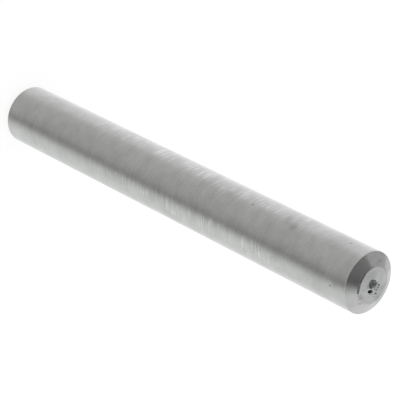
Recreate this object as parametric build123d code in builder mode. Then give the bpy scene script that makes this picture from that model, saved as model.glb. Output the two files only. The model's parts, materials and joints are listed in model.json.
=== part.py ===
"""Parallel dowel pin of ground steel, in millimetres.

The pin is one piece, turned from bar and ground on the outside, with a flat
chamfer at each end. It stands on its lower end: +Z runs along its axis and the
origin is the centre of the lower end face. The upper end face keeps the
shallow crater left where the pin was parted from the bar.
"""

import os
from math import radians, tan

from build123d import *

# Driving dimensions
DIAMETER = 6.0
LENGTH = 50.0
END_FACE_DIAMETER = 3.64
CHAMFER_ANGLE = 30.0  # degrees, between the chamfer and the end face
CRATER_DIAMETER = 0.84
CRATER_DEPTH = 0.22

# Dimensions that follow from them
shank_radius = DIAMETER / 2
face_radius = END_FACE_DIAMETER / 2
chamfer_height = (shank_radius - face_radius) * tan(radians(CHAMFER_ANGLE))
crater_radius = CRATER_DIAMETER / 2
crater_sphere_radius = (crater_radius**2 + CRATER_DEPTH**2) / (2 * CRATER_DEPTH)
crater_sphere_height = LENGTH - CRATER_DEPTH + crater_sphere_radius

# The pin: half of its long section, turned about the axis
with BuildPart() as pin:
    with BuildSketch(Plane.XZ) as half_section:
        with BuildLine() as outline:
            Polyline(
                (0, 0),
                (face_radius, 0),
                (shank_radius, chamfer_height),
                (shank_radius, LENGTH - chamfer_height),
                (face_radius, LENGTH),
                (0, LENGTH),
                close=True,
            )
        make_face()
    revolve(axis=Axis.Z)

    # The crater in the upper end face is a shallow cap of a sphere
    with Locations((0, 0, crater_sphere_height)):
        Sphere(radius=crater_sphere_radius, mode=Mode.SUBTRACT)

pin.part.label = "pin"

os.makedirs("parts", exist_ok=True)
export_step(pin.part, "parts/pin.step")

print(f"shank length {LENGTH - 2 * chamfer_height:.3f} mm")
print(f"chamfer height {chamfer_height:.3f} mm")
print(f"volume {pin.part.volume:.1f} mm3")
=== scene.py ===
"""Looks of the dowel pin: a ground shank, turned ends and a torn crater.

Everything is in metres in the row frame: the pin stands on its lower end with
+Z along its axis. Sizes in millimetres are turned into metres by MM. Azimuths
are in degrees about the pin's axis, from -Y towards +X.
"""

import json
import math

import bpy
import numpy as np
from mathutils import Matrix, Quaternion, Vector

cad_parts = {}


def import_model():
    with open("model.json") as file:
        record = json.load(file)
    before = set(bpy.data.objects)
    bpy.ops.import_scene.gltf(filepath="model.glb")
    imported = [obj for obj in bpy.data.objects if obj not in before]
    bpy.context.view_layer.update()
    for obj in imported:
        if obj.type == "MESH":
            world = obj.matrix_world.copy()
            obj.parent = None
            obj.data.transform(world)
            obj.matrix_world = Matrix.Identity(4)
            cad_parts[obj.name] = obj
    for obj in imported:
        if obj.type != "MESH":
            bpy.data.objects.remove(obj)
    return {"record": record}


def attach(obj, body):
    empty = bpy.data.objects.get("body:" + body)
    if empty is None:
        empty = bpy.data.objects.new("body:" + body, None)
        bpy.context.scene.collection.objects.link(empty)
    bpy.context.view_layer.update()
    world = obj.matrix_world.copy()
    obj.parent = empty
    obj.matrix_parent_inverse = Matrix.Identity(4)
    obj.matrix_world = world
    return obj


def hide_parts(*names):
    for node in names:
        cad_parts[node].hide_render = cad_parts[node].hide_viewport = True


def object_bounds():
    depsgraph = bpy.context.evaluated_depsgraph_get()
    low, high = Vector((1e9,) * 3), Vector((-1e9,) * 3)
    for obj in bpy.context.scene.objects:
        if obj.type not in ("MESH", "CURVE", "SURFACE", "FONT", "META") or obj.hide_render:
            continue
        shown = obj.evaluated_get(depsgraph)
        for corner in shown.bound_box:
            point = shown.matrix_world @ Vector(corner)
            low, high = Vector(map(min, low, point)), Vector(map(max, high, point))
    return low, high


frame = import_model()
cad_low, cad_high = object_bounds()

MM = 0.001

# The pin's sizes, from the frame
SHANK = next(mount for mount in frame["record"]["mounts"] if mount["name"] == "shank")
RADIUS = SHANK["dims"]["r_mm"] * MM
LENGTH = cad_high.z
CHAMFER_HEIGHT = (LENGTH - SHANK["dims"]["length_mm"] * MM) / 2
CHAMFER_SLOPE = math.radians(30)  # between the chamfer and the end face
FACE_RADIUS = RADIUS - CHAMFER_HEIGHT / math.tan(CHAMFER_SLOPE)


# ------------------------------------------------------------ shape of the pin

# Facets round the pin, and the steps between its rings along each stretch of the outline
SEGMENTS = 240
SHANK_STEP = 0.36 * MM
DENT_STEP = 0.06 * MM
LOWER_STEP = 0.2 * MM
CHAMFER_STEP = 0.025 * MM
FACE_STEP = 0.05 * MM
CRATER_STEP = 0.022 * MM

# The radius within which the upper face has the crater's close steps, and how far above and below
# a dent's middle the shank has the dent's, in half heights of the dent
CRATER_REACH = 1.15 * MM
DENT_MARGIN = 1.6

# How far each rounded corner reaches along the outline, and its facets
SHOULDER_REACH = 0.05 * MM
RIM_REACH = 0.09 * MM
CORNER_STEPS = 5

# Rings beyond this radius lie on the shank
SHANK_EDGE = RADIUS - 0.1 * SHOULDER_REACH

# Dents in the shank: azimuth, height, half width round the pin, half height, depth
DENTS = (
    (-54, LENGTH - 2.95 * MM, 0.26 * MM, 0.12 * MM, 0.040 * MM),
    (34, LENGTH - 2.40 * MM, 0.16 * MM, 0.18 * MM, 0.030 * MM),
    (-34, LENGTH - 14.5 * MM, 0.18 * MM, 0.15 * MM, 0.030 * MM),
)

# Torn hollows in the upper end: centre x and y, half sizes, turn in degrees, depth, and the share
# of the half sizes that the wall takes
HOLLOWS = (
    (-0.10 * MM, -0.18 * MM, 0.46 * MM, 0.57 * MM, 12, 0.20 * MM, 0.65),
    (0.62 * MM, 0.00 * MM, 0.17 * MM, 0.36 * MM, 14, 0.34 * MM, 0.60),
    (-0.27 * MM, 0.71 * MM, 0.15 * MM, 0.20 * MM, 0, 0.05 * MM, 0.95),
    (-0.03 * MM, 0.75 * MM, 0.10 * MM, 0.18 * MM, 0, 0.06 * MM, 0.95),
    (0.21 * MM, 0.69 * MM, 0.14 * MM, 0.14 * MM, 0, 0.04 * MM, 0.95),
    (0.53 * MM, 0.84 * MM, 0.09 * MM, 0.17 * MM, 0, 0.07 * MM, 0.95),
)

# Burrs pushed up round them: from x, y to x, y, half width, height
BURRS = (
    (0.40 * MM, 0.40 * MM, 0.43 * MM, -0.45 * MM, 0.05 * MM, 0.04 * MM),
    (-0.38 * MM, 0.48 * MM, 0.36 * MM, 0.50 * MM, 0.05 * MM, 0.03 * MM),
    (0.10 * MM, 0.02 * MM, 0.24 * MM, 0.28 * MM, 0.07 * MM, 0.10 * MM),
    (0.60 * MM, 0.98 * MM, 0.82 * MM, 0.45 * MM, 0.04 * MM, 0.02 * MM),
    (0.82 * MM, 0.45 * MM, 0.98 * MM, 0.00 * MM, 0.04 * MM, 0.02 * MM),
)

# The ragged edge of the torn hollows: waves round it, their size and their start in radians
RAGGED_WAVES = ((3, 0.04, 2), (7, 0.03, 1))

# The most that a burr stands above the face
BURR_LIMIT = 0.03 * MM

# Knocks on the rim of the upper face: centre x and y, half sizes, turn in degrees, depth
KNOCKS = (
    (1.35 * MM, -1.10 * MM, 0.22 * MM, 0.42 * MM, -35, 0.035 * MM),
    (1.95 * MM, -0.42 * MM, 0.10 * MM, 0.45 * MM, -20, 0.050 * MM),
    (1.62 * MM, -0.95 * MM, 0.14 * MM, 0.25 * MM, 30, 0.015 * MM),
)

# The tool groove at the foot of the upper chamfer, an arc whose middle and half span are azimuths.
# It fades out over the last 1 / GROOVE_FADE of its half span.
GROOVE_RADIUS = 1.86 * MM
GROOVE_HALF_WIDTH = 0.055 * MM
GROOVE_DEPTH = 0.10 * MM
GROOVE_MIDDLE = 12
GROOVE_HALF_SPAN = 31
GROOVE_FADE = 4

# How deep a mark is before its metal is torn and dull. In the tool groove that dark tone is painted
# shade.
TORN_HOLLOW = 0.012 * MM
GROOVE_SHADE_DEPTH = 0.030 * MM

# The pin's finishes, in the order of its materials. The torn finish also darkens the deep part of
# the tool groove, as painted shade.
ZONES = ("ground", "turned", "faced", "torn")


def smooth_step(t):
    """0 up to t = 0, 1 from t = 1, and an S curve between."""
    t = np.clip(t, 0, 1)
    return t * t * (3 - 2 * t)


def pressed(across, along):
    """A round-bottomed mark: 1 in its middle, and little at a distance of 1."""
    return np.exp(-2 * (across**2 + along**2))


def rounded(before, corner, after, reach):
    """Points (radius, height) that round a corner of the outline, from reach before to reach after."""
    before, corner, after = (np.array(point, float) for point in (before, corner, after))
    start = corner + reach * (before - corner) / np.linalg.norm(before - corner)
    end = corner + reach * (after - corner) / np.linalg.norm(after - corner)
    shares = np.linspace(0, 1, CORNER_STEPS + 1)
    return [(1 - t) ** 2 * start + 2 * t * (1 - t) * corner + t**2 * end for t in shares]


def between(start, end, step):
    """Points (radius, height) about step apart between start and end, which are left out."""
    start, end = np.array(start, float), np.array(end, float)
    count = max(2, round(np.linalg.norm(end - start) / step))
    return [start + (end - start) * k / count for k in range(1, count)]


def shank_points(low, high):
    """Points up the shank, close together where there is a dent."""
    heights = [height for _, height in between((0, low), (0, high), SHANK_STEP)]
    for _, middle, _, half_height, _ in DENTS:
        reach = DENT_MARGIN * half_height
        heights = [height for height in heights if abs(height - middle) > reach]
        heights += list(np.arange(middle - reach, middle + reach, DENT_STEP))
    return [(RADIUS, height) for height in sorted(heights)]


def outline():
    """The pin's half section as rings (radius, height, zone), from its lower to its upper centre."""
    low_shoulder, low_rim = (RADIUS, CHAMFER_HEIGHT), (FACE_RADIUS, 0)
    high_shoulder, high_rim = (RADIUS, LENGTH - CHAMFER_HEIGHT), (FACE_RADIUS, LENGTH)
    low_edge = rounded((0, 0), low_rim, low_shoulder, RIM_REACH)
    low_bend = rounded(low_rim, low_shoulder, high_shoulder, SHOULDER_REACH)
    high_bend = rounded(low_shoulder, high_shoulder, high_rim, SHOULDER_REACH)
    high_edge = rounded(high_shoulder, high_rim, (0, LENGTH), RIM_REACH)
    crater_rim = (CRATER_REACH, LENGTH)
    upper_face = between(high_edge[-1], crater_rim, FACE_STEP)
    crater = between(crater_rim, (0, LENGTH), CRATER_STEP)
    stretches = (
        ("faced", between((0, 0), low_edge[0], LOWER_STEP)),
        ("turned", low_edge + between(low_edge[-1], low_bend[0], LOWER_STEP)),
        ("ground", low_bend + shank_points(low_bend[-1][1], high_bend[0][1]) + high_bend),
        ("turned", between(high_bend[-1], high_edge[0], CHAMFER_STEP) + high_edge),
        ("faced", upper_face + crater),
    )
    return [(radius, height, zone) for zone, points in stretches for radius, height in points]


def offset_in(x, y, centre_x, centre_y, turn):
    """Points in the axes of a mark that is centred and turned."""
    c, s = math.cos(math.radians(turn)), math.sin(math.radians(turn))
    x, y = x - centre_x, y - centre_y
    return x * c + y * s, y * c - x * s


def hollow_depth(x, y):
    """Depth of the torn hollows at points of the upper end."""
    depth = np.zeros_like(x)
    for centre_x, centre_y, half_x, half_y, turn, deepest, wall in HOLLOWS:
        across, along = offset_in(x, y, centre_x, centre_y, turn)
        across, along = across / half_x, along / half_y
        angle = np.arctan2(along, across)
        ragged = 1
        for waves, size, start in RAGGED_WAVES:
            ragged = ragged + size * np.sin(waves * angle + start)
        inside = (ragged - np.hypot(across, along)) / wall
        depth = np.maximum(depth, deepest * smooth_step(inside))
    return depth


def burr_height(x, y):
    """Height of the burrs at points of the upper end."""
    height = np.zeros_like(x)
    for x1, y1, x2, y2, half_width, highest in BURRS:
        run = (x2 - x1) ** 2 + (y2 - y1) ** 2
        share = np.clip(((x - x1) * (x2 - x1) + (y - y1) * (y2 - y1)) / run, 0, 1)
        away = np.hypot(x - x1 - share * (x2 - x1), y - y1 - share * (y2 - y1))
        height = np.maximum(height, highest * np.exp(-((away / half_width) ** 2)))
    return height


def knock_depth(x, y):
    """Depth of the knocks at points of the upper end."""
    depth = np.zeros_like(x)
    for centre_x, centre_y, half_x, half_y, turn, deepest in KNOCKS:
        across, along = offset_in(x, y, centre_x, centre_y, turn)
        depth += deepest * pressed(across / half_x, along / half_y)
    return depth


def groove_depth(x, y):
    """Depth of the tool groove at points of the upper end."""
    from_middle = np.degrees(np.arctan2(x, -y)) - GROOVE_MIDDLE
    fade = smooth_step(GROOVE_FADE * (1 - np.abs(from_middle) / GROOVE_HALF_SPAN))
    away = (np.hypot(x, y) - GROOVE_RADIUS) / GROOVE_HALF_WIDTH
    return GROOVE_DEPTH * fade * np.exp(-(away**2))


def dent_depth(azimuth, height):
    """How far the shank is pressed in at an azimuth in radians and a height."""
    depth = np.zeros_like(azimuth)
    for centre, middle, half_width, half_height, deepest in DENTS:
        across = RADIUS * (azimuth - math.radians(centre)) / half_width
        along = (height - middle) / half_height
        depth += deepest * pressed(across, along)
    return depth


def pin_mesh():
    """The pin as one closed mesh, each face in the material of its zone."""
    rings = outline()
    turn = np.linspace(-math.pi, math.pi, SEGMENTS, endpoint=False)[None, :]
    radius = np.array([ring[0] for ring in rings])[:, None] + 0 * turn
    height = np.array([ring[1] for ring in rings])[:, None] + 0 * turn
    azimuth = turn + 0 * radius
    radius -= (radius > SHANK_EDGE) * dent_depth(azimuth, height)
    x, y = radius * np.sin(azimuth), -radius * np.cos(azimuth)
    upper = (height > LENGTH - CHAMFER_HEIGHT + SHOULDER_REACH).astype(float)
    hollow, groove = upper * hollow_depth(x, y), upper * groove_depth(x, y)
    burr = np.minimum(burr_height(x, y), hollow + BURR_LIMIT)
    height += upper * (burr - knock_depth(x, y)) - hollow - groove
    # The deep part of the tool groove takes the torn finish's dark tone as painted shade
    torn = (hollow > TORN_HOLLOW) | (groove > GROOVE_SHADE_DEPTH)

    upper_centre = LENGTH - float(hollow_depth(np.zeros(1), np.zeros(1))[0])
    points = [(0, 0, 0), *zip(x.ravel(), y.ravel(), height.ravel()), (0, 0, upper_centre)]
    faces, zones = [], []
    for k in range(SEGMENTS):
        faces.append((0, 1 + (k + 1) % SEGMENTS, 1 + k))
        zones.append("faced")
    for i in range(len(rings) - 1):
        for k in range(SEGMENTS):
            corners = ((i, k), (i, (k + 1) % SEGMENTS), (i + 1, (k + 1) % SEGMENTS), (i + 1, k))
            faces.append([1 + ring * SEGMENTS + side for ring, side in corners])
            zones.append("torn" if any(torn[corner] for corner in corners) else rings[i + 1][2])
    top = 1 + (len(rings) - 1) * SEGMENTS
    for k in range(SEGMENTS):
        faces.append((top + k, top + (k + 1) % SEGMENTS, len(points) - 1))
        zones.append("torn")
    mesh = bpy.data.meshes.new("dowel_pin")
    mesh.from_pydata(points, [], faces)
    mesh.polygons.foreach_set("material_index", [ZONES.index(zone) for zone in zones])
    mesh.polygons.foreach_set("use_smooth", [True] * len(faces))
    mesh.update()
    return mesh


# ------------------------------------------------------------------- materials

# The anisotropic rotation, in turns, that draws a reflection out across the marks
QUARTER_TURN = 0.25


class Graph:
    """A material's or world's node tree, to which nodes are added with their inputs filled in."""

    def __init__(self, owner):
        owner.use_nodes = True
        self.tree = owner.node_tree

    def add(self, kind, inputs=None, output=0, **settings):
        """Adds a node and returns one of its outputs. Inputs are values or other nodes' outputs."""
        node = self.tree.nodes.new("ShaderNode" + kind)
        for name, value in settings.items():
            setattr(node, name, value)
        self.fill(node, inputs or {})
        return node.outputs[output] if node.outputs else None

    def fill(self, node, inputs):
        """Links each input to a node's output, or sets it to a value."""
        for name, value in inputs.items():
            if isinstance(value, bpy.types.NodeSocket):
                self.tree.links.new(value, node.inputs[name])
            else:
                node.inputs[name].default_value = value

    def noise(self, width, height, detail):
        """Noise in grains, given their width in X and Y and their height in Z."""
        position = self.add("TexCoord", output="Object")
        grains = (1 / width, 1 / width, 1 / height)
        stretched = self.add("VectorMath", {0: position, 1: grains}, operation="MULTIPLY")
        return self.add("TexNoise", {"Vector": stretched, "Scale": 1, "Detail": detail}, output="Fac")

    def remap(self, value, start, end, to_start, to_end, curve="LINEAR"):
        """Changes evenly from to_start where the value is start to to_end where it is end."""
        ends = {"From Min": start, "From Max": end, "To Min": to_start, "To Max": to_end}
        return self.add("MapRange", {"Value": value, **ends}, interpolation_type=curve)

    def smooth(self, value, start, end, to_start, to_end):
        """The same change, but slow at both ends."""
        return self.remap(value, start, end, to_start, to_end, "SMOOTHSTEP")

    def math(self, operation, *values):
        """One step of arithmetic on values or other nodes' outputs."""
        return self.add("Math", dict(enumerate(values)), operation=operation)


def metal(name, inputs, tangent):
    """A new metal, its graph and its shader. A tangent lays its marks round the pin's axis."""
    material = bpy.data.materials.new(name)
    graph = Graph(material)
    shader = graph.tree.nodes["Principled BSDF"]
    graph.fill(shader, {"Metallic": 1, **inputs})
    if tangent:
        around = graph.add("Tangent", direction_type="RADIAL", axis="Z")
        graph.fill(shader, {"Anisotropic Rotation": QUARTER_TURN, "Tangent": around})
    return material, graph, shader


# Noises: how wide the grains are in X and Y, how tall in Z, and the detail
GROUND_LINES = (1.6 * MM, 0.20 * MM, 2)
GROUND_ROWS = (2.6 * MM, 0.20 * MM, 0)
GROUND_GROUPS = (0.8 * MM, 1.6 * MM, 1)
GROUND_BLOTCHES = (1.3 * MM, 1.3 * MM, 3)
TURNED_LINES = (2.0 * MM, 0.05 * MM, 2)
TURNED_BLOTCHES = (0.45 * MM, 0.45 * MM, 3)
FACED_PATCHES = (0.7 * MM, 0.7 * MM, 3)
FACED_BLOTCHES = (0.22 * MM, 0.22 * MM, 3)
TORN_PORES = (0.25 * MM, 0.25 * MM, 2)

# The noise values over which a look changes
NOISE_ENDS = (0.3, 0.7)
PORE_ENDS = (0.35, 0.65)
PATCH_ENDS = (0.38, 0.62)

# The finishes. A pair is the look at the two ends of its noise. A mottle is a share of the tone,
# and a relief is the height of the bump.
GROUND_ANISOTROPY = 0.8
GROUND_TONE = (0.492, 0.538)
GROUND_MOTTLE = (0.935, 1.065)
GROUND_ROUGHNESS = (0.20, 0.28)
GROUND_RELIEF = 0.011 * MM

TURNED_ANISOTROPY = 0.4
TURNED_TONE = (0.455, 0.500)
TURNED_MOTTLE = (0.94, 1.04)
TURNED_ROUGHNESS = (0.12, 0.18)
TURNED_RELIEF = 0.002 * MM

FACED_ANISOTROPY = 0.45
FACED_COOL = (0.555, 0.572, 0.562, 1)
FACED_WARM = (0.495, 0.495, 0.50, 1)
FACED_MOTTLE = (0.94, 1.06)
FACED_ROUGHNESS = (0.3, 0.4)
FACED_RELIEF = 0.004 * MM

TORN_TONE = (0.14, 0.23)
TORN_ROUGHNESS = (0.6, 0.45)
TORN_RELIEF = 0.03 * MM

# Stains, painted shade and brighter patches on the upper end: x, y, z, reach, share of the tone
# that they leave
END_STAINS_AND_SHADE = (
    (-0.55 * MM, -1.05 * MM, LENGTH, 1.05 * MM, 0.80),
    (0.42 * MM, -0.15 * MM, LENGTH, 0.30 * MM, 0.72),
    # Painted shade outside the bottom of the crater's bowl
    (0.25 * MM, -0.62 * MM, LENGTH, 0.40 * MM, 0.74),
    (0.18 * MM, 0.28 * MM, LENGTH, 0.28 * MM, 0.74),
    (0.80 * MM, 1.30 * MM, LENGTH, 0.60 * MM, 0.90),
    (-0.90 * MM, 0.90 * MM, LENGTH, 0.80 * MM, 1.08),
    (1.32 * MM, -1.08 * MM, LENGTH, 0.38 * MM, 0.77),
    (1.66 * MM, -0.95 * MM, LENGTH, 0.25 * MM, 0.92),
    (1.50 * MM, -0.72 * MM, LENGTH, 0.32 * MM, 0.80),
    (0.60 * MM, 1.35 * MM, LENGTH, 0.40 * MM, 0.94),
    (0.85 * MM, 0.75 * MM, LENGTH, 0.32 * MM, 0.93),
    (0.93 * MM, 0.28 * MM, LENGTH, 0.26 * MM, 0.93),
    (1.95 * MM, -0.42 * MM, LENGTH, 0.35 * MM, 0.76),
    (-2.19 * MM, -0.47 * MM, LENGTH - 0.2 * MM, 0.28 * MM, 0.76),
    (-1.94 * MM, -0.78 * MM, LENGTH - 0.1 * MM, 0.24 * MM, 0.82),
)

# Painted highlights in the crater, on its bowl, its torn flap and round its small pits, with the same
# columns
CRATER_PAINTED_HIGHLIGHTS = (
    (-0.13 * MM, -0.23 * MM, LENGTH - 0.2 * MM, 0.36 * MM, 1.30),
    (0.13 * MM, 0.13 * MM, LENGTH - 0.1 * MM, 0.30 * MM, 2.00),
    (0.10 * MM, 0.80 * MM, LENGTH, 0.90 * MM, 1.70),
)

# Stains and brighter patches on the shank: azimuth, distance below the upper end, reach, share
SHANK_STAINS = (
    (-44, 10.1 * MM, 0.50 * MM, 0.84),
    (-35, 9.9 * MM, 0.60 * MM, 0.85),
    (-35, 8.9 * MM, 0.70 * MM, 0.86),
    (-27, 8.9 * MM, 0.55 * MM, 0.87),
    (-15, 9.4 * MM, 1.20 * MM, 0.95),
    (10, 9.4 * MM, 1.20 * MM, 0.95),
    (38, 9.5 * MM, 0.80 * MM, 0.92),
    (29, 2.0 * MM, 0.60 * MM, 0.89),
    (44, 4.2 * MM, 2.60 * MM, 0.89),
    (66, 23.6 * MM, 1.50 * MM, 0.93),
    (72, 48.0 * MM, 2.50 * MM, 1.06),
    (50, 16.0 * MM, 2.50 * MM, 1.06),
    (-72, 4.0 * MM, 3.00 * MM, 0.90),
    (-72, 9.5 * MM, 3.00 * MM, 0.92),
    (-70, 13.5 * MM, 2.50 * MM, 0.95),
    (-44, 17.6 * MM, 1.60 * MM, 0.92),
    (18, 3.8 * MM, 2.20 * MM, 1.05),
    (-44, 28.3 * MM, 0.70 * MM, 1.10),
    (-42, 30.8 * MM, 0.80 * MM, 1.13),
    (-40, 33.2 * MM, 0.60 * MM, 1.08),
    (-82, 29.2 * MM, 1.80 * MM, 1.08),
    (-82, 36.0 * MM, 2.00 * MM, 1.09),
    (-60, 32.6 * MM, 1.40 * MM, 0.92),
    (5, 48.5 * MM, 3.40 * MM, 1.05),
    (-60, 45.2 * MM, 0.50 * MM, 0.85),
)

# Painted shade in the shank's dents: reach, share of the tone
DENT_PAINTED_SHADE = (0.22 * MM, 0.62)


def with_stains_and_painted_light(graph, tone, stains_and_painted_light):
    """The tone with round stain marks, brighter patches, painted shade and painted highlights on it.
    """
    position = graph.add("TexCoord", output="Object")
    for *centre, reach, kept in stains_and_painted_light:
        points = {0: position, 1: centre}
        away = graph.add("VectorMath", points, output="Value", operation="DISTANCE")
        tone = graph.math("MULTIPLY", tone, graph.smooth(away, 0, reach, kept, 1))
    return tone


# How much a tick adds to the tone as a painted glint, and the share of that which is left past each
# edge of a band
TICK_GLINT_STRENGTH = 0.145
TICK_LEAST = 0.1

# The noise values over which a tick, and a group of ticks, goes from its least to its most
TICK_ENDS = (0.52, 0.66)
GROUP_ENDS = (0.42, 0.62)
GROUP_SHARES = (0.3, 1)

# Bands down the shank where the struck marks catch light, as painted glints: each edge's axis, where
# they are faint and where they are full
TICK_GLINT_BANDS = (
    (
        ("X", -1.00 * RADIUS, -0.86 * RADIUS),
        ("X", -0.50 * RADIUS, -0.72 * RADIUS),
        ("Z", 0.10 * LENGTH, 0.38 * LENGTH),
        ("Z", 0.90 * LENGTH, 0.80 * LENGTH),
    ),
    (
        ("X", 0.88 * RADIUS, 0.75 * RADIUS),
        ("X", 0.35 * RADIUS, 0.48 * RADIUS),
        ("Z", 0.15 * LENGTH, 0.60 * LENGTH),
        ("Z", 0.83 * LENGTH, 0.80 * LENGTH),
    ),
)


def shank_stains_and_dent_shade():
    """The shank's stain marks and patches, and the painted shade in its dents,
    as x, y, z, reach and share of the tone.
    """
    marks = [(azimuth, LENGTH - below, reach, kept) for azimuth, below, reach, kept in SHANK_STAINS]
    marks += [(azimuth, height, *DENT_PAINTED_SHADE) for azimuth, height, *_ in DENTS]
    for azimuth, height, reach, kept in marks:
        turn = math.radians(azimuth)
        yield RADIUS * math.sin(turn), -RADIUS * math.cos(turn), height, reach, kept


def glinting_ticks(graph, rows):
    """Where the wheel has struck short marks, painted bright as glints: in groups, in bands that fade
    at their edges.
    """
    position = graph.add("TexCoord", output="Object")
    place = graph.add("SeparateXYZ", {0: position}).node.outputs
    groups = graph.smooth(graph.noise(*GROUND_GROUPS), *GROUP_ENDS, *GROUP_SHARES)
    strongest = 0
    for band in TICK_GLINT_BANDS:
        share = groups
        for axis, faint, full in band:
            edge = graph.smooth(place[axis], faint, full, TICK_LEAST, 1)
            share = graph.math("MULTIPLY", share, edge)
        strongest = graph.math("MAXIMUM", strongest, share)
    return graph.math("MULTIPLY", strongest, graph.smooth(rows, *TICK_ENDS, 0, 1))


def ground_steel():
    """The shank: fine grinding lines round it, short struck marks in groups painted bright as glints,
    a faint mottle, stain marks, and painted shade in its dents.
    """
    material, graph, shader = metal("ground_steel", {"Anisotropic": GROUND_ANISOTROPY}, True)
    lines = graph.noise(*GROUND_LINES)
    rows = graph.noise(*GROUND_ROWS)
    mottle = graph.noise(*GROUND_BLOTCHES)
    tone = graph.remap(lines, *NOISE_ENDS, *GROUND_TONE)
    tone = graph.math("MULTIPLY_ADD", glinting_ticks(graph, rows), TICK_GLINT_STRENGTH, tone)
    tone = graph.math("MULTIPLY", tone, graph.remap(mottle, *NOISE_ENDS, *GROUND_MOTTLE))
    grain = graph.remap(lines, *NOISE_ENDS, *GROUND_ROUGHNESS)
    relief = graph.add("Bump", {"Strength": 1, "Distance": GROUND_RELIEF, "Height": rows})
    tone = with_stains_and_painted_light(graph, tone, shank_stains_and_dent_shade())
    graph.fill(shader, {"Base Color": tone, "Roughness": grain, "Normal": relief})
    return material


def turned_steel():
    """The chamfers: close turning lines and a faint mottle."""
    material, graph, shader = metal("turned_steel", {"Anisotropic": TURNED_ANISOTROPY}, True)
    lines = graph.noise(*TURNED_LINES)
    mottle = graph.noise(*TURNED_BLOTCHES)
    tone = graph.remap(lines, *NOISE_ENDS, *TURNED_TONE)
    tone = graph.math("MULTIPLY", tone, graph.remap(mottle, *NOISE_ENDS, *TURNED_MOTTLE))
    grain = graph.remap(mottle, *NOISE_ENDS, *TURNED_ROUGHNESS)
    relief = graph.add("Bump", {"Strength": 1, "Distance": TURNED_RELIEF, "Height": lines})
    tone = with_stains_and_painted_light(graph, tone, END_STAINS_AND_SHADE)
    graph.fill(shader, {"Base Color": tone, "Roughness": grain, "Normal": relief})
    return material


def faced_steel():
    """The end faces: a duller turned surface with cool and warm patches, stain marks, and painted
    shade beside the crater.
    """
    material, graph, shader = metal("faced_steel", {"Anisotropic": FACED_ANISOTROPY}, True)
    patches = graph.noise(*FACED_PATCHES)
    mottle = graph.noise(*FACED_BLOTCHES)
    share = graph.remap(patches, *PATCH_ENDS, 0, 1)
    # A Mix node takes its factor and its two colours by the numbers of their sockets
    colours = {0: share, 6: FACED_COOL, 7: FACED_WARM}
    tint = graph.add("Mix", colours, output=2, data_type="RGBA")
    bright = with_stains_and_painted_light(graph, graph.remap(mottle, *NOISE_ENDS, *FACED_MOTTLE), END_STAINS_AND_SHADE)
    tone = graph.add("VectorMath", {0: tint, "Scale": bright}, operation="SCALE")
    grain = graph.remap(mottle, *NOISE_ENDS, *FACED_ROUGHNESS)
    relief = graph.add("Bump", {"Strength": 1, "Distance": FACED_RELIEF, "Height": mottle})
    graph.fill(shader, {"Base Color": tone, "Roughness": grain, "Normal": relief})
    return material


def torn_steel_and_painted_light():
    """The crater: dull broken metal, darker in its pores, with painted highlights on it.
    It also darkens the tool groove as painted shade.
    """
    material, graph, shader = metal("torn_steel_and_painted_light", {}, False)
    pores = graph.noise(*TORN_PORES)
    tone = with_stains_and_painted_light(graph, graph.remap(pores, *PORE_ENDS, *TORN_TONE), CRATER_PAINTED_HIGHLIGHTS)
    grain = graph.remap(pores, *PORE_ENDS, *TORN_ROUGHNESS)
    relief = graph.add("Bump", {"Strength": 1, "Distance": TORN_RELIEF, "Height": pores})
    graph.fill(shader, {"Base Color": tone, "Roughness": grain, "Normal": relief})
    return material


# ---------------------------------------------------------------------- studio

# A white world, with a drum and grey cards that show only in the pin's reflections.
# The drum stands round the pin and reaches below the floor. Its tones: azimuth and colour.
DRUM_RADIUS = 0.5
DRUM_LOW, DRUM_HIGH = -1.6, 0.3
DRUM_SIDES = 120
DRUM_TONES = (
    (-168, (1.28, 1.28, 1.28)),
    (-150, (1.26, 1.26, 1.26)),
    (-120, (1.10, 1.10, 1.10)),
    (-96, (0.96, 0.96, 0.96)),
    (-84, (0.90, 0.90, 0.90)),
    (-72, (0.78, 0.78, 0.77)),
    (-60, (0.695, 0.695, 0.685)),
    (-24, (0.62, 0.62, 0.604)),
    (0, (0.59, 0.59, 0.573)),
    (24, (0.505, 0.505, 0.492)),
    (38, (0.40, 0.40, 0.388)),
    (48, (0.45, 0.453, 0.44)),
    (60, (0.70, 0.71, 0.69)),
    (72, (0.895, 0.912, 0.89)),
    (96, (0.99, 1.015, 0.99)),
    (132, (1.02, 1.04, 1.03)),
    (146, (1.09, 1.10, 1.09)),
    (160, (1.02, 1.03, 1.02)),
)

# Round cards: direction from the upper end, distance, angles where they start and stop fading, tone
SIDE_CARD = ((-0.72, 0.40, 0.57), 0.32, 30, 60, 0.60)
BACK_CARD = ((0.00, 0.92, -0.39), 0.45, 2, 16, 0.66)
CORNER_CARD = ((-0.24, 0.96, -0.09), 0.48, 3, 16, 0.81)
CARD_SIDES = 64

# The overhead card: height over the upper end, where it fades in and out, tones at its two sides
OVERHEAD_HEIGHT = 0.25
OVERHEAD_X = (-0.190, -0.175, 0.050, 0.190)
OVERHEAD_Y = (-0.350, -0.200, 0.100, 0.220)
OVERHEAD_TONES = (0.315, 0.185)

# The floor: half its side, the grey that takes the shadow, and its own glow
FLOOR_REACH = 10
FLOOR_GREY = 0.15
FLOOR_GLOW = 0.87


def add_object(name, points, faces, material):
    """A new object that belongs to the studio, not to the part."""
    mesh = bpy.data.meshes.new(name)
    mesh.from_pydata(points, [], faces)
    mesh.materials.append(material)
    obj = bpy.data.objects.new(name, mesh)
    bpy.context.scene.collection.objects.link(obj)
    return obj


def show_in_reflections_only(obj):
    """Hides an object from every kind of ray but the glossy ones."""
    obj.visible_camera = False
    obj.visible_diffuse = False
    obj.visible_transmission = False
    obj.visible_volume_scatter = False
    obj.visible_shadow = False


def circle(radius, sides, height=0):
    """Points of a level circle about the Z axis."""
    turns = [2 * math.pi * k / sides for k in range(sides)]
    return [(radius * math.cos(turn), radius * math.sin(turn), height) for turn in turns]


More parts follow.
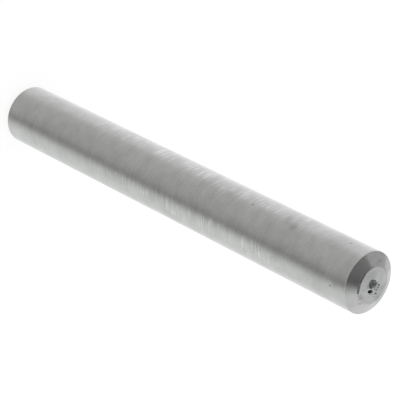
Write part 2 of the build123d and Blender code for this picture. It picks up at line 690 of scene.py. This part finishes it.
def drum():
    """A wall round the pin, bright with a darker side."""
    material = bpy.data.materials.new("drum")
    graph = Graph(material)
    graph.tree.nodes.clear()
    place = graph.add("TexCoord", output="Object")
    split = graph.add("SeparateXYZ", {0: place}).node
    away = graph.math("MULTIPLY", split.outputs["Y"], -1)
    azimuth = graph.math("ARCTAN2", split.outputs["X"], away)
    share = graph.remap(azimuth, -math.pi, math.pi, 0, 1)
    ramp = graph.add("ValToRGB", {0: share})
    tones = ramp.node.color_ramp.elements
    # A new ramp has two tones. The others are added at its middle and placed below.
    for _ in DRUM_TONES[2:]:
        tones.new(0.5)
    for tone, (angle, colour) in zip(tones, DRUM_TONES):
        tone.position = (angle + 180) / 360
        tone.color = (*colour, 1)
    glow = graph.add("Emission", {"Color": ramp})
    graph.add("OutputMaterial", {"Surface": glow})
    points = circle(DRUM_RADIUS, DRUM_SIDES, DRUM_LOW) + circle(DRUM_RADIUS, DRUM_SIDES, DRUM_HIGH)
    sides = [(k, (k + 1) % DRUM_SIDES) for k in range(DRUM_SIDES)]
    faces = [(a, b, DRUM_SIDES + b, DRUM_SIDES + a) for a, b in sides]
    show_in_reflections_only(add_object("drum", points, faces, material))


def glowing(name, tone, cover):
    """A material that glows where cover is 1 and is clear where it is 0. Both are functions."""
    material = bpy.data.materials.new(name)
    graph = Graph(material)
    graph.tree.nodes.clear()
    place = graph.add("TexCoord", output="Object")
    glow = graph.add("Emission", {"Color": tone(graph, place)})
    clear = graph.add("BsdfTransparent")
    surface = graph.add("MixShader", {0: cover(graph, place), 1: clear, 2: glow})
    graph.add("OutputMaterial", {"Surface": surface})
    return material


def round_card(name, direction, distance, fade_from, fade_to, grey):
    """A round grey card that faces the pin's upper end and fades out towards its edge."""
    inner, outer = (distance * math.tan(math.radians(angle)) for angle in (fade_from, fade_to))

    def tone(graph, place):
        return (grey, grey, grey, 1)

    def cover(graph, place):
        away = graph.add("VectorMath", {0: place}, output="Value", operation="LENGTH")
        return graph.smooth(away, inner, outer, 1, 0)

    obj = add_object(name, circle(outer, CARD_SIDES), [range(CARD_SIDES)], glowing(name, tone, cover))
    direction = Vector(direction).normalized()
    obj.location = Vector((0, 0, LENGTH)) + direction * distance
    obj.rotation_mode = "QUATERNION"
    obj.rotation_quaternion = direction.to_track_quat("Z", "Y")
    show_in_reflections_only(obj)


def overhead_card():
    """A dark card over the pin, with one crisp side and one soft side."""

    def tone(graph, place):
        across = graph.add("SeparateXYZ", {0: place})
        return graph.remap(across, OVERHEAD_X[1], OVERHEAD_X[2], *OVERHEAD_TONES)

    def cover(graph, place):
        split = graph.add("SeparateXYZ", {0: place}).node
        share = 1
        for axis, (start, full, fading, end) in (("X", OVERHEAD_X), ("Y", OVERHEAD_Y)):
            value = split.outputs[axis]
            share = graph.math("MULTIPLY", share, graph.smooth(value, start, full, 0, 1))
            share = graph.math("MULTIPLY", share, graph.smooth(value, fading, end, 1, 0))
        return share

    (left, *_, right), (near, *_, far) = OVERHEAD_X, OVERHEAD_Y
    points = [(left, near, 0), (right, near, 0), (right, far, 0), (left, far, 0)]
    obj = add_object("overhead_card", points, [(0, 1, 2, 3)], glowing("overhead_card", tone, cover))
    obj.location = (0, 0, LENGTH + OVERHEAD_HEIGHT)
    show_in_reflections_only(obj)


def floor():
    """A wide white floor with a faint shadow. Reflections look past it to the drum and cards."""
    material = bpy.data.materials.new("floor")
    graph = Graph(material)
    white = {
        "Base Color": (FLOOR_GREY, FLOOR_GREY, FLOOR_GREY, 1),
        "Roughness": 1,
        "Specular IOR Level": 0,
        "Emission Color": (1, 1, 1, 1),
        "Emission Strength": FLOOR_GLOW,
    }
    graph.fill(graph.tree.nodes["Principled BSDF"], white)
    points = [(x * FLOOR_REACH, y * FLOOR_REACH, 0) for x, y in ((-1, -1), (1, -1), (1, 1), (-1, 1))]
    add_object("floor", points, [(0, 1, 2, 3)], material).visible_glossy = False


def world():
    """White all round."""
    studio = bpy.data.worlds.new("studio")
    graph = Graph(studio)
    graph.fill(graph.tree.nodes["Background"], {"Color": (1, 1, 1, 1), "Strength": 1})
    bpy.context.scene.world = studio


# ---------------------------------------------------------------------- camera

# The point that it looks at, its place about that point, its roll, its focal length in millimetres,
# and how near to it a thing starts to show
CAMERA_AIM = (0.094 * MM, 0, 27.24 * MM)
CAMERA_DISTANCE = 189.1 * MM
CAMERA_AZIMUTH = math.radians(-0.04)
CAMERA_ELEVATION = math.radians(41.61)
CAMERA_ROLL = math.radians(116.57)
CAMERA_LENS = 177.8
CAMERA_CLIP_START = 10 * MM


def camera():
    """A long lens that looks down on the pin, rolled so that the pin lies across the picture."""
    level, rise = math.cos(CAMERA_ELEVATION), math.sin(CAMERA_ELEVATION)
    back = Vector((math.sin(CAMERA_AZIMUTH) * level, -math.cos(CAMERA_AZIMUTH) * level, rise))
    data = bpy.data.cameras.new("camera")
    data.lens = CAMERA_LENS
    data.clip_start = CAMERA_CLIP_START
    obj = bpy.data.objects.new("camera", data)
    bpy.context.scene.collection.objects.link(obj)
    obj.location = Vector(CAMERA_AIM) + back * CAMERA_DISTANCE
    obj.rotation_mode = "QUATERNION"
    obj.rotation_quaternion = back.to_track_quat("Z", "Y") @ Quaternion((0, 0, 1), CAMERA_ROLL)
    bpy.context.scene.camera = obj


# ------------------------------------------------------------------- the scene

camera()
world()
floor()
drum()
overhead_card()
round_card("side_card", *SIDE_CARD)
round_card("back_card", *BACK_CARD)
round_card("corner_card", *CORNER_CARD)
bpy.context.scene.view_settings.view_transform = "Standard"

pin = bpy.data.objects.new("dowel_pin", pin_mesh())
bpy.context.scene.collection.objects.link(pin)
for make in (ground_steel, turned_steel, faced_steel, torn_steel_and_painted_light):
    pin.data.materials.append(make())
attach(pin, "root")
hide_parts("pin")
